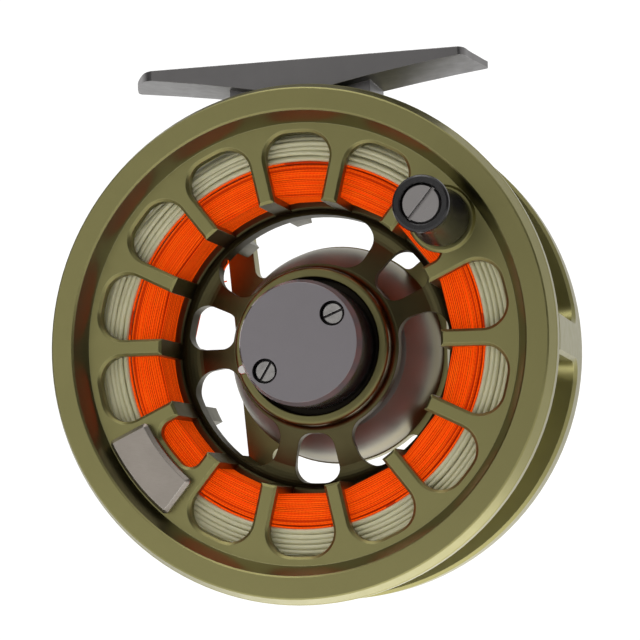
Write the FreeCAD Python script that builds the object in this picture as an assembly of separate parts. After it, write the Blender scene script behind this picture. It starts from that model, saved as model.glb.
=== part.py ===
import FreeCAD, Part
import os
from math import sin, cos, radians, sqrt, atan2, degrees, pi

V = FreeCAD.Vector
os.makedirs("parts", exist_ok=True)

# ------------------------------------------------------------------ dimensions
# Fly reel, millimetres.  The parts are drawn about the spindle: the spindle is
# the Y axis, the front face of the spool rim is Y = 0, +Z is up towards the
# foot.  Every part is then moved so that the origin is the centre of the flat
# seating face of the foot.
AXIS_DROP = 50.0          # foot seating face to spindle axis
FOOT_Y = 12.5             # rim face to middle of the foot
REEL_R = 45.0             # outer radius of rim and frame
REEL_DEPTH = 35.85        # rim face to rear face of the frame

# spool rim and front flange
RIM_FACE_R0, RIM_FACE_R1 = 40.1, 43.85
RIM_CHAMFER_Y, RIM_BACK_Y = 2.8, 5.4
RECESS_R, RECESS_Y = 38.36, 3.7
FLANGE_BACK_Y = 5.9
GROOVE_R0, GROOVE_R1, GROOVE_Y = 41.0, 43.9, 2.2
# windows between the spokes
N_SPOKES = 14
HANDLE_DEG = 37.8
SPOKE_HALF = 1.45
WINDOW_R, WINDOW_CORNER, WINDOW_BEVEL = 36.75, 4.2, 0.5
SHORT_WINDOW_R, SHORT_CORNER = 29.6, 2.2
# arbor cage
ARBOR_R0, ARBOR_R1 = 24.95, 26.3
RING_R0, RING_Y0, RING_Y1 = 24.06, 15.6, 20.6
REAR_FLANGE_R, REAR_Y0, REAR_Y1 = 40.9, 28.6, 30.8
# hub and web
HUB_R, HUB_BORE, HUB_Y0, HUB_FLOOR0, HUB_FLOOR1 = 14.07, 12.1, 12.2, 15.4, 18.2
WEB_Y0, WEB_Y1 = 15.9, 18.0
WEB_BACK_Y, WEB_TAPER_R = 18.4, 20.0
SOCKET_BACK, SOCKET_OD = 21.9, 10.8
HEX_R = 8.5
HEX_CLEAR = 0.08
# spindle
SPINDLE_R, RUN_CLEAR = 3.5, 0.05
SPINDLE_TIP = 8.6
# frame
FRAME_R0 = 41.5
FRONT_RING_R0, FRONT_RING_R1, FRONT_RING_Y0, FRONT_RING_Y1 = 41.4, 43.5, 2.6, 7.4
PILLAR_Y0 = 5.65
SLOT_BACK_Y, SLOT_CORNER, SLOT_BEVEL = 29.65, 3.6, 0.6
PILLAR_HALF_DEG, FOOT_PILLAR_HALF_DEG = 4.6, 17.8
BACK_Y = 32.6
HUB_PLATE_R, PLATE_WINDOW_R = 20.0, 38.5
# drag housing
HOUSING_FACE_Y, DOME_FLAT_R = 22.3, 15.1
CAVITY_R, CAVITY_Y = 15.2, 24.4
KEY_DEPTH, KEY_HALF = 0.8, 2.0
# handle
HANDLE_R = 32.6
HANDLE_TIP_Y, HANDLE_BASE_Y = -14.7, 3.1
# counterweight
CW_R0, CW_R1, CW_Y, CW_HALF_DEG = 30.2, 37.8, 1.6, 12.6
# line
LINE_Y0, LINE_Y1 = 6.3, 28.3
BACKING_R, LINE_R = 32.1, 38.0
# foot: plan of its two ends as (x, y), then how thick it is at each |x|
FOOT_HALF_W = 7.13
FOOT_LEFT = ((-26.4, 5.37), (-27.8, 6.3), (-29.2, 8.3), (-30.8, 11.4), (-32.2, 14.6), (-33.2, 17.9), (-33.4, 19.0), (-33.1, 19.63))
FOOT_RIGHT = ((29.1, 5.37), (29.8, 6.1), (30.3, 8.6), (30.85, 12.2), (31.4, 15.4), (31.95, 18.4), (32.05, 19.1), (31.8, 19.63))
FOOT_THICK = ((33.5, 0.88), (26.0, 1.88), (19.0, 2.88), (13.0, 3.85), (8.0, 4.8), (3.0, 5.9))
FOOT_BLOCK_HALF, FOOT_BLOCK_Y = 12.8, 8.6

MOVE = V(0, -FOOT_Y, -AXIS_DROP)


# ------------------------------------------------------------------ helpers
def lathe(points):
    """solid of revolution about Y from (radius, y) points"""
    w = Part.makePolygon([V(r, y, 0) for r, y in points + [points[0]]])
    return Part.Face(w).revolve(V(0, 0, 0), V(0, 1, 0), 360)


def arc_points(x0, y0, xm, ym, x1, y1, n=7):
    """points on the circular arc through three points of a lathe section"""
    d = 2.0 * (x0 * (ym - y1) + xm * (y1 - y0) + x1 * (y0 - ym))
    q0, qm, q1 = x0 * x0 + y0 * y0, xm * xm + ym * ym, x1 * x1 + y1 * y1
    cx = (q0 * (ym - y1) + qm * (y1 - y0) + q1 * (y0 - ym)) / d
    cy = (q0 * (x1 - xm) + qm * (x0 - x1) + q1 * (xm - x0)) / d
    r = sqrt((x0 - cx) ** 2 + (y0 - cy) ** 2)
    a0, am, a1 = (atan2(v - cy, u - cx) for u, v in ((x0, y0), (xm, ym), (x1, y1)))
    while am - a0 > pi:
        am -= 2 * pi
    while am - a0 < -pi:
        am += 2 * pi
    while (a1 - am) > pi:
        a1 -= 2 * pi
    while (a1 - am) < -pi:
        a1 += 2 * pi
    return [(cx + r * cos(a0 + (a1 - a0) * i / n), cy + r * sin(a0 + (a1 - a0) * i / n)) for i in range(n + 1)]


def ring(r0, r1, y0, y1):
    s = Part.makeCylinder(r1, y1 - y0, V(0, y0, 0), V(0, 1, 0))
    if r0 > 0:
        s = s.cut(Part.makeCylinder(r0, y1 - y0 + 2, V(0, y0 - 1, 0), V(0, 1, 0)))
    return s


def rod(x, z, r, y0, y1):
    return Part.makeCylinder(r, y1 - y0, V(x, y0, z), V(0, 1, 0))


def polar(r, deg):
    return r * cos(radians(deg)), r * sin(radians(deg))


def turn(shape, deg):
    """turn about the spindle; positive is counter-clockwise seen from the front"""
    s = shape.copy()
    s.rotate(V(0, 0, 0), V(0, 1, 0), -deg)
    return s


def prism(points, y0, y1):
    """(x, z) polygon swept along Y"""
    w = Part.makePolygon([V(x, y0, z) for x, z in points + [points[0]]])
    return Part.Face(w).extrude(V(0, y1 - y0, 0))


def one(shape):
    s = shape.removeSplitter()
    if len(s.Solids) == 1:
        return s.Solids[0]
    return s


def fillet_y_edges(solid, radius, keep=None):
    """round the edges that run parallel to Y"""
    edges = []
    for e in solid.Edges:
        if len(e.Vertexes) != 2:
            continue
        a, b = e.Vertexes[0].Point, e.Vertexes[1].Point
        if abs(a.x - b.x) < 1e-6 and abs(a.z - b.z) < 1e-6 and abs(a.y - b.y) > 0.5:
            if keep is None or keep(a.x, a.z):
                edges.append(e)
    return solid.makeFillet(radius, edges) if edges else solid


def hexagon(r, y0, y1, deg=0):
    return prism([polar(r, deg + 60 * i) for i in range(6)], y0, y1)


def sector(r0, r1, y0, y1, a0, a1, extra=0.0):
    """annular sector between two angles"""
    p = V(*([cos(radians(a0)) * r0, y0, sin(radians(a0)) * r0]))
    q = V(cos(radians(a0)) * r1, y0, sin(radians(a0)) * r1)
    am = (a0 + a1) / 2.0
    r = V(cos(radians(a1)) * r1, y0, sin(radians(a1)) * r1)
    t = V(cos(radians(a1)) * r0, y0, sin(radians(a1)) * r0)
    mo = V(cos(radians(am)) * r1, y0, sin(radians(am)) * r1)
    mi = V(cos(radians(am)) * r0, y0, sin(radians(am)) * r0)
    w = Part.Wire([Part.makeLine(p, q), Part.Arc(q, mo, r).toShape(),
                   Part.makeLine(r, t), Part.Arc(t, mi, p).toShape()])
    return Part.Face(w).extrude(V(0, y1 - y0, 0))


def window_wire(y, ro, rc, grow=0.0, start=22.5):
    """outline of one window, centred on the +X direction, open towards the hub"""
    phi = pi / N_SPOKES
    d = (cos(phi), sin(phi))
    n = (sin(phi), -cos(phi))
    s = sqrt((ro - rc) ** 2 - (SPOKE_HALF + rc) ** 2)
    c = (s * d[0] + (SPOKE_HALF + rc) * n[0], s * d[1] + (SPOKE_HALF + rc) * n[1])
    w = SPOKE_HALF - grow
    s0 = sqrt(start ** 2 - w ** 2)
    a = (s0 * d[0] + w * n[0], s0 * d[1] + w * n[1])
    b = (s * d[0] + w * n[0], s * d[1] + w * n[1])
    cl = sqrt(c[0] ** 2 + c[1] ** 2)
    e = (c[0] / cl * (ro + grow), c[1] / cl * (ro + grow))
    m = ((b[0] - c[0]) + (e[0] - c[0]), (b[1] - c[1]) + (e[1] - c[1]))
    ml = sqrt(m[0] ** 2 + m[1] ** 2)
    m = (c[0] + m[0] / ml * (rc + grow), c[1] + m[1] / ml * (rc + grow))
    P = lambda q, sgn=1: V(q[0], y, sgn * q[1])
    return Part.Wire([
        Part.makeLine(P(a), P(b)),
        Part.Arc(P(b), P(m), P(e)).toShape(),
        Part.Arc(P(e), V(ro + grow, y, 0), P(e, -1)).toShape(),
        Part.Arc(P(e, -1), P(m, -1), P(b, -1)).toShape(),
        Part.makeLine(P(b, -1), P(a, -1)),
        Part.makeLine(P(a, -1), P(a))])


def window_cut(ro, rc, y0, y1, front_bevel=0.0, back_bevel=0.0):
    s = Part.Face(window_wire(y0 - 0.5, ro, rc)).extrude(V(0, y1 - y0 + 1.0, 0))
    if front_bevel:
        b = front_bevel
        s = s.fuse(Part.makeLoft([window_wire(y0 - 0.2, ro, rc, b + 0.2), window_wire(y0 + b, ro, rc, 0.0)], True))
    if back_bevel:
        b = back_bevel
        s = s.fuse(Part.makeLoft([window_wire(y1 - b, ro, rc, 0.0), window_wire(y1 + 0.2, ro, rc, b + 0.2)], True))
    return s


def slotted_screw(x, z, head_r, head_y0, head_y1, shank_r, shank_y1, slot_w, slot_d, slot_deg, dome=0.0):
    """screw whose head faces the front"""
    h = rod(x, z, head_r, head_y0, head_y1)
    if dome:
        h = h.makeChamfer(dome, [e for e in h.Edges if len(e.Vertexes) == 1 and abs(e.CenterOfMass.y - head_y0) < 1e-3])
    s = h.fuse(rod(x, z, shank_r, head_y1, shank_y1))
    k = Part.makeBox(head_r * 2.6, slot_d + 0.4, slot_w, V(-head_r * 1.3, head_y0 - 0.4, -slot_w / 2))
    k = turn(k, slot_deg)
    k.translate(V(x, 0, z))
    return one(s.cut(k))


parts = {}


def add(name, shape):
    s = shape.copy()
    s.translate(MOVE)
    parts[name] = s


# ------------------------------------------------------------------ spool
def make_spool():
    g = N_SPOKES
    # rim, raised bead and front flange in one section
    front = lathe([
        (ARBOR_R0 + 0.45, RECESS_Y), (RECESS_R, RECESS_Y), (RIM_FACE_R0 - 0.15, 0.3), (RIM_FACE_R0 + 0.15, 0.0),
        (RIM_FACE_R1 - 0.15, 0.0), (RIM_FACE_R1 + 0.1, 0.2), (REEL_R - 0.15, RIM_CHAMFER_Y - 0.25), (REEL_R, RIM_CHAMFER_Y),
        (REEL_R, RIM_BACK_Y - 0.2), (REEL_R - 0.2, RIM_BACK_Y), (GROOVE_R1, RIM_BACK_Y), (GROOVE_R1, GROOVE_Y),
        (GROOVE_R0, GROOVE_Y), (GROOVE_R0, FLANGE_BACK_Y), (ARBOR_R0, FLANGE_BACK_Y), (ARBOR_R0, RECESS_Y + 0.45)])
    rear = lathe([(ARBOR_R0, REAR_Y0), (REAR_FLANGE_R - 0.5, REAR_Y0), (REAR_FLANGE_R, REAR_Y0 + 0.5),
                  (REAR_FLANGE_R, REAR_Y1 - 0.5), (REAR_FLANGE_R - 0.5, REAR_Y1), (ARBOR_R0 + 0.4, REAR_Y1), (ARBOR_R0, REAR_Y1 - 0.4)])
    # windows of the two flanges
    full_f = window_cut(WINDOW_R, WINDOW_CORNER, RECESS_Y, FLANGE_BACK_Y, WINDOW_BEVEL, 0.0)
    short_f = window_cut(SHORT_WINDOW_R, SHORT_CORNER, RECESS_Y, FLANGE_BACK_Y, WINDOW_BEVEL, 0.0)
    full_r = window_cut(WINDOW_R, WINDOW_CORNER, REAR_Y0, REAR_Y1, 0.0, WINDOW_BEVEL)
    short_r = window_cut(SHORT_WINDOW_R, SHORT_CORNER, REAR_Y0, REAR_Y1, 0.0, WINDOW_BEVEL)
    for i in range(g):
        a = HANDLE_DEG + 360.0 * i / g
        front = front.cut(turn(short_f if i in (0, g // 2) else full_f, a))
        rear = rear.cut(turn(short_r if i in (0, g // 2) else full_r, a))
    # boss under the handle
    hx, hz = polar(HANDLE_R, HANDLE_DEG)
    boss = Part.makeCone(5.9, 5.45, 0.45, V(hx, RECESS_Y, hz), V(0, -1, 0))
    front = front.fuse(boss)
    # arbor cage: axial bars joined by one ring
    bars = None
    for i in range(g):
        b = Part.makeBox(ARBOR_R1 - ARBOR_R0 + 1.5, REAR_Y0 + 0.4 - FLANGE_BACK_Y + 0.4, 2 * SPOKE_HALF,
                         V(ARBOR_R0 - 0.8, FLANGE_BACK_Y - 0.4, -SPOKE_HALF))
        b = turn(b, HANDLE_DEG + 360.0 * (i + 0.5) / g)
        bars = b if bars is None else bars.fuse(b)
    bars = bars.common(ring(ARBOR_R0, ARBOR_R1, 0, 40))
    # web ring with a dished front, web plate and hub in one section
    core = lathe([
        (HUB_BORE, HUB_Y0 + 0.3), (HUB_BORE + 0.3, HUB_Y0)]
        + arc_points(HUB_R - 0.8, HUB_Y0, HUB_R - 0.234, HUB_Y0 + 0.234, HUB_R, HUB_Y0 + 0.8)
        + arc_points(HUB_R, WEB_Y0 - 1.0, HUB_R + 0.32, WEB_Y0 - 0.26, HUB_R + 1.08, WEB_Y0 + 0.06)
        + arc_points(RING_R0 - 2.5, WEB_Y1 - 0.36, RING_R0 - 0.36, WEB_Y1 - 0.75, ARBOR_R0 + 0.02, RING_Y0 + 0.2)
        + [(ARBOR_R0 + 0.3, RING_Y0), (ARBOR_R1, RING_Y0),
           (ARBOR_R1, RING_Y1), (RING_R0 - 0.5, RING_Y1), (WEB_TAPER_R, WEB_BACK_Y), (SOCKET_OD + 0.8, WEB_BACK_Y)]
        + arc_points(SOCKET_OD + 0.8, WEB_BACK_Y, SOCKET_OD + 0.234, WEB_BACK_Y + 0.234, SOCKET_OD, WEB_BACK_Y + 0.8)[1:]
        + [(SOCKET_OD, SOCKET_BACK - 0.3), (SOCKET_OD - 0.3, SOCKET_BACK),
           (5.0, SOCKET_BACK), (5.0, HUB_FLOOR0), (HUB_BORE, HUB_FLOOR0)])
    core = core.cut(hexagon(HEX_R + HEX_CLEAR, HUB_FLOOR1, SOCKET_BACK + 1, HANDLE_DEG))
    # openings through the web: three rounded slots and three wide windows
    def web_cut(r0, r1, half, fillet, deg):
        # sides parallel to the radial ribs, rounded at every corner
        s = sector(r0, r1, WEB_Y0 - 4, RING_Y1 + 2, deg - half, deg + half)
        return fillet_y_edges(s, fillet)
    for deg, half, r0, fl in ((HANDLE_DEG, 10.6, 15.2, 2.6), (HANDLE_DEG + 129.6, 10.9, 15.2, 2.6), (HANDLE_DEG - 129.6, 10.9, 15.2, 2.6)):
        core = core.cut(web_cut(r0, RING_R0, half, fl, deg))
    for deg, half in ((HANDLE_DEG + 64.8, 42.9), (HANDLE_DEG - 64.8, 42.9), (HANDLE_DEG + 180, 28.5)):
        core = core.cut(web_cut(15.1, RING_R0, half, 3.6, deg))
    s = front.fuse(rear).fuse(bars).fuse(core)
    # bores: handle post, cap screws, hub pin, counterweight screws
    s = s.cut(rod(hx, hz, 2.0, -1, 8))
    s = s.cut(rod(hx, hz, 3.4, FLANGE_BACK_Y - 0.9, 8))
    for a in (HANDLE_DEG, HANDLE_DEG + 180):
        x, z = polar(7.75, a)
        s = s.cut(rod(x, z, 1.1, HUB_FLOOR0 - 1, HUB_FLOOR0 + 2.3))
    x, z = polar(13.1, 196.2)
    s = s.cut(rod(x, z, 0.85, HUB_Y0 - 1, HUB_Y0 + 3.0))
    for da in (-6.5, 6.5):
        x, z = polar(34.6, HANDLE_DEG + 180 + da)
        s = s.cut(rod(x, z, 0.9, 2, 7))
        s = s.cut(Part.makeCone(0.9, 1.9, 1.0, V(x, FLANGE_BACK_Y - 1.0, z), V(0, 1, 0)))
    return one(s)


add("spool", make_spool())

# bearing of the spool on the spindle, spring ring that holds the spool on, its retainer
add("spool_bushing", one(lathe([(SPINDLE_R + RUN_CLEAR, HUB_FLOOR0), (5.0, HUB_FLOOR0), (5.0, HUB_FLOOR1), (SPINDLE_R + RUN_CLEAR, HUB_FLOOR1)])))
add("detent_retainer", one(lathe([(4.7, 12.6), (6.2, 12.6), (6.2, 15.4), (5.0, 15.4), (SPINDLE_R + 0.3, 15.4), (SPINDLE_R + 0.3, 14.7), (4.7, 14.7)])))
add("detent_ring", sector(SPINDLE_R + 0.06, 4.6, 13.5, 14.6, 15, 345))
# hub cap with two counterbored screws
cap = lathe([(0, 3.55), (10.4, 3.55), (11.05, 5.1), (11.05, HUB_FLOOR0), (6.5, HUB_FLOOR0), (6.5, 7.0), (6.1, 6.6), (0, 6.6)])
for a in (HANDLE_DEG, HANDLE_DEG + 180):
    x, z = polar(7.75, a)
    cap = cap.cut(rod(x, z, 2.2, 3, 5.3)).cut(rod(x, z, 1.15, 3, 16))
add("hub_cap", one(cap))
for name, a, sd in (("cap_screw_a", HANDLE_DEG, 22.0), ("cap_screw_b", HANDLE_DEG + 180, 58.0)):
    x, z = polar(7.75, a)
    add(name, slotted_screw(x, z, 1.95, 4.15, 5.3, 1.1, 17.6, 0.42, 0.55, sd, 0.25))
x, z = polar(13.1, 196.2)
pin = rod(x, z, 0.85, HUB_Y0 - 0.35, HUB_Y0 + 3.0)
add("hub_pin", pin.makeChamfer(0.15, [e for e in pin.Edges if len(e.Vertexes) == 1 and abs(e.CenterOfMass.y - HUB_Y0 + 0.35) < 1e-3]))

# counterweight, an arc segment opposite the handle, held from behind
cwt = sector(CW_R0, CW_R1, CW_Y, RECESS_Y, HANDLE_DEG + 180 - CW_HALF_DEG, HANDLE_DEG + 180 + CW_HALF_DEG)
cwt = fillet_y_edges(cwt, 0.8)
cwt = cwt.makeChamfer(0.65, [e for e in cwt.Edges if abs(e.BoundBox.YMax - CW_Y) < 1e-3])
for da in (-6.5, 6.5):
    x, z = polar(34.6, HANDLE_DEG + 180 + da)
    cwt = cwt.cut(rod(x, z, 0.9, 2.4, 4))
add("counterweight", one(cwt))
for name, da in (("counterweight_screw_a", -6.5), ("counterweight_screw_b", 6.5)):
    x, z = polar(34.6, HANDLE_DEG + 180 + da)
    s = rod(x, z, 0.9, 2.4, FLANGE_BACK_Y - 1.0).fuse(Part.makeCone(0.9, 1.9, 1.0, V(x, FLANGE_BACK_Y - 1.0, z), V(0, 1, 0)))
    k = Part.makeBox(5, 0.5, 0.5, V(x - 2.5, FLANGE_BACK_Y - 0.4, z - 0.25))
    add(name, one(s.cut(k)))

# wound backing and fly line
add("backing", one(lathe([(ARBOR_R1, LINE_Y0), (BACKING_R - 0.3, LINE_Y0), (BACKING_R, LINE_Y0 + 0.3), (BACKING_R, LINE_Y1 - 0.3),
                          (BACKING_R - 0.3, LINE_Y1), (ARBOR_R1, LINE_Y1)])))
add("fly_line", one(lathe([(BACKING_R, LINE_Y0), (LINE_R - 0.8, LINE_Y0), (LINE_R, LINE_Y0 + 0.8), (LINE_R, LINE_Y1 - 0.8),
                           (LINE_R - 0.8, LINE_Y1), (BACKING_R, LINE_Y1), (BACKING_R, LINE_Y1 - 0.3), (BACKING_R, LINE_Y0 + 0.3)])))

# ------------------------------------------------------------------ handle
hx, hz = polar(HANDLE_R, HANDLE_DEG)


def at_handle(points):
    s = lathe(points)
    s.translate(V(hx, 0, hz))
    return s


T = HANDLE_TIP_Y
post = at_handle([(0, -12.6), (1.9, -12.6), (2.0, -12.5), (2.0, FLANGE_BACK_Y - 0.9), (3.3, FLANGE_BACK_Y - 0.9), (3.3, FLANGE_BACK_Y - 0.1), (0, FLANGE_BACK_Y - 0.1)])
post = post.cut(rod(hx, hz, 1.2, -13, -5))
add("handle_post", one(post))
hs = at_handle([(0, T + 0.45), (3.0, T + 0.45), (3.28, T + 0.7), (3.28, -12.6), (1.2, -12.6), (1.2, -5.5), (0, -5.5)])
k = Part.makeBox(8, 1.1, 0.62, V(-4, T + 0.1, -0.31))
k = turn(k, 50.0)
k.translate(V(hx, 0, hz))
add("handle_screw", one(hs.cut(k)))
# knob: flared end, waist, round foot
knob_pts = [(3.42, T + 0.3), (3.6, T + 0.05), (4.35, T), (4.68, T + 0.25), (4.8, T + 0.7), (4.72, T + 1.3), (4.42, T + 2.6), (4.22, T + 4.4), (4.2, T + 6.6),
            (4.3, T + 9.0), (4.5, T + 11.6), (4.78, T + 14.0), (5.0, T + 15.8), (5.05, T + 16.8), (4.9, T + 17.5), (4.6, HANDLE_BASE_Y),
            (3.0, HANDLE_BASE_Y), (3.0, -12.5), (3.42, -12.5)]
add("handle_knob", one(at_handle(knob_pts)))
add("handle_bushing", one(at_handle([(2.05, -12.4), (3.0, -12.4), (3.0, HANDLE_BASE_Y), (2.05, HANDLE_BASE_Y)])))

# ------------------------------------------------------------------ frame
def chord(p, q, keep_left, y0, y1, size=120.0):
    """half plane bounded by the line p-q as a thick slab; keep_left picks the side"""
    dx, dz = q[0] - p[0], q[1] - p[1]
    L = sqrt(dx * dx + dz * dz)
    dx, dz = dx / L, dz / L
    nx, nz = (-dz, dx) if keep_left else (dz, -dx)
    a = (p[0] - dx * size, p[1] - dz * size)
    b = (p[0] + dx * size, p[1] + dz * size)
    return prism([a, b, (b[0] + nx * size, b[1] + nz * size), (a[0] + nx * size, a[1] + nz * size)], y0, y1)


def slot_edges(body):
    """edges of the side slots that lie on the frame's outer cylinder"""
    found = []
    for e in body.Edges:
        pts = [e.valueAt(e.FirstParameter + (e.LastParameter - e.FirstParameter) * k / 6.0) for k in range(7)]
        ys = [q.y for q in pts]
        if min(ys) < PILLAR_Y0 - 0.1 or max(ys) > SLOT_BACK_Y + 0.05:
            continue
        if any(abs(sqrt(q.x ** 2 + q.z ** 2) - REEL_R) > 2e-3 for q in pts):
            continue
        if max(ys) - min(ys) < 1e-4 and abs(ys[0] - SLOT_BACK_Y) > 1e-3:
            continue
        found.append(e)
    return found


def make_frame():
    body = lathe([
        (FRAME_R0, PILLAR_Y0), (REEL_R - 0.25, PILLAR_Y0), (REEL_R, PILLAR_Y0 + 0.25), (REEL_R, REEL_DEPTH - 0.7), (REEL_R - 0.7, REEL_DEPTH),
        (0, REEL_DEPTH), (0, BACK_Y), (FRAME_R0 - 2.6, BACK_Y), (FRAME_R0 - 1.0, BACK_Y - 0.45), (FRAME_R0 - 0.25, BACK_Y - 1.4), (FRAME_R0, BACK_Y - 3.2)])
    # long slots round the side, pillars between them
    pillars = [(0.0, PILLAR_HALF_DEG), (90.0, FOOT_PILLAR_HALF_DEG), (180.0, PILLAR_HALF_DEG), (270.0, PILLAR_HALF_DEG)]
    y_front = PILLAR_Y0 - 1.0
    for i in range(4):
        a0 = pillars[i][0] + pillars[i][1]
        a1 = (pillars[(i + 1) % 4][0] or 360.0) - pillars[(i + 1) % 4][1]
        c = sector(FRAME_R0 - 4, REEL_R + 3, y_front, SLOT_BACK_Y, a0, a1)
        edges = []
        for e in c.Edges:
            if len(e.Vertexes) == 2 and abs(e.Vertexes[0].Point.y - e.Vertexes[1].Point.y) < 1e-6 \
                    and abs(e.Vertexes[0].Point.y - SLOT_BACK_Y) < 1e-6 and abs(e.Length - (REEL_R + 7 - FRAME_R0)) < 0.01:
                edges.append(e)
        c = c.makeFillet(SLOT_CORNER, edges)
        body = body.cut(c)
    # even bevel round each slot: rear edge, both corners and both ends
    body = body.makeChamfer(SLOT_BEVEL, slot_edges(body))
    body = body.fuse(lathe([(FRONT_RING_R0, FRONT_RING_Y0 + 0.2), (FRONT_RING_R0 + 0.2, FRONT_RING_Y0), (FRONT_RING_R1 - 0.2, FRONT_RING_Y0),
                            (FRONT_RING_R1, FRONT_RING_Y0 + 0.2), (FRONT_RING_R1, FRONT_RING_Y1), (FRONT_RING_R0, FRONT_RING_Y1)]))
    # back plate windows, leaving four spokes
    y0, y1 = BACK_Y - 3.0, REEL_DEPTH + 1
    annulus = ring(HUB_PLATE_R + 0.2, PLATE_WINDOW_R, y0, y1)
    lineL = ((-20.8, 18.0), (-17.6, -19.5))
    left = annulus.common(chord(lineL[0], lineL[1], False, y0, y1))
    # upper right and lower right spokes
    ur0, d = (14.1, 15.1), (cos(radians(38)), sin(radians(38)))
    ur1 = (ur0[0] + d[0] * 10, ur0[1] + d[1] * 10)
    w = 5.4
    ur0b = (ur0[0] + w * d[1], ur0[1] - w * d[0])
    ur1b = (ur0b[0] + d[0] * 10, ur0b[1] + d[1] * 10)
    lr0 = (14.7, -15.6)
    lr1 = (lr0[0] + d[0] * 10, lr0[1] - d[1] * 10)
    lr0b = (lr0[0] + w * d[1], lr0[1] + w * d[0])
    lr1b = (lr0b[0] + d[0] * 10, lr0b[1] - d[1] * 10)
    right = annulus.common(prism([(20.6, -60), (70, -60), (70, 60), (20.6, 60)], y0, y1))
    right = right.common(chord(ur0b, ur1b, False, y0, y1)).common(chord(lr0b, lr1b, True, y0, y1))
    top = annulus.common(chord((-15.49, 15.37), (-15.97, 19.79), False, y0, y1)).common(chord(ur0, ur1, True, y0, y1))
    top = top.common(prism([(-70, 0), (70, 0), (70, 70), (-70, 70)], y0, y1))
    bottom = annulus.common(chord((-13.12, -18.0), (-12.95, -21.0), True, y0, y1)).common(chord(lr0, lr1, False, y0, y1))
    bottom = bottom.common(prism([(-70, 0), (70, 0), (70, -70), (-70, -70)], y0, y1))
    for wdw in (left, right, top, bottom):
        for sol in wdw.Solids:
            try:
                sol = fillet_y_edges(sol, 1.6)
            except Exception as err:
                print("plate window left with sharp corners:", err)
            body = body.cut(sol)
    # spindle bore, push pin holes, housing screw holes
    body = body.cut(rod(0, 0, SPINDLE_R, 20, 40))
    for a in (30, 150, 270):
        x, z = polar(11.0, a)
        body = body.cut(rod(x, z, 1.0, 20, 40))
    for a in (90, 210, 330):
        x, z = polar(17.4, a)
        body = body.cut(rod(x, z, 1.15, 20, 40)).cut(rod(x, z, 2.1, REEL_DEPTH - 1.4, 40))
    # foot screw holes through the top pillar
    for x in (-7.0, 7.0):
        body = body.cut(Part.makeCylinder(1.55, 12, V(x, FOOT_Y, 38), V(0, 0, 1)))
        body = body.cut(Part.makeCone(3.4, 1.55, 1.7, V(x, FOOT_Y, 40.9), V(0, 0, 1)))
    return one(body)


add("frame", make_frame())


def make_foot():
    h = AXIS_DROP
    under = [(-x, h - t) for x, t in FOOT_THICK] + [(x, h - t) for x, t in reversed(FOOT_THICK)]
    prof = [(34, h), (-34, h), (-34, h - FOOT_THICK[0][1])] + under[1:-1] + [(34, h - FOOT_THICK[0][1])]
    y0, y1 = FOOT_Y - FOOT_HALF_W, FOOT_Y + FOOT_HALF_W
    s = prism(prof, y0, y1)
    # plan outline with its slanting, rounded ends
    left, right = Part.BSplineCurve(), Part.BSplineCurve()
    left.interpolate([V(x, y, 30) for x, y in FOOT_LEFT])
    right.interpolate([V(x, y, 30) for x, y in FOOT_RIGHT])
    P = lambda q: V(q[0], q[1], 30)
    w = Part.Wire([Part.makeLine(P(FOOT_RIGHT[0]), P(FOOT_LEFT[0])), left.toShape(),
                   Part.makeLine(P(FOOT_LEFT[-1]), P(FOOT_RIGHT[-1])), right.toShape()])
    s = s.common(Part.Face(w).extrude(V(0, 0, 30)))
    # block that stands on the frame, set back from the front face
    b = FOOT_BLOCK_HALF
    s = s.fuse(Part.makeBox(2 * b, y1 - FOOT_BLOCK_Y, h - 1.0 - 40, V(-b, FOOT_BLOCK_Y, 40)))
    s = s.cut(Part.makeCylinder(REEL_R, 80, V(0, -20, 0), V(0, 1, 0)))
    for x in (-7.0, 7.0):
        s = s.cut(Part.makeCylinder(1.5, 4.4, V(x, FOOT_Y, 44), V(0, 0, 1)))
    return one(s)


add("reel_foot", make_foot())
for name, x in (("foot_screw_left", -7.0), ("foot_screw_right", 7.0)):
    s = Part.makeCylinder(1.5, 48.3 - 42.5, V(x, FOOT_Y, 42.5), V(0, 0, 1)).fuse(Part.makeCone(3.3, 1.5, 1.65, V(x, FOOT_Y, 40.95), V(0, 0, 1)))
    s = s.common(Part.makeCylinder(60, 40, V(0, 0, 0), V(0, 1, 0)).cut(Part.makeCylinder(FRAME_R0, 40, V(0, 0, 0), V(0, 1, 0))))
    s = s.cut(Part.makeBox(0.7, 9, 0.75, V(x - 0.35, FOOT_Y - 4.5, 40.9)))
    add(name, one(s))


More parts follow.
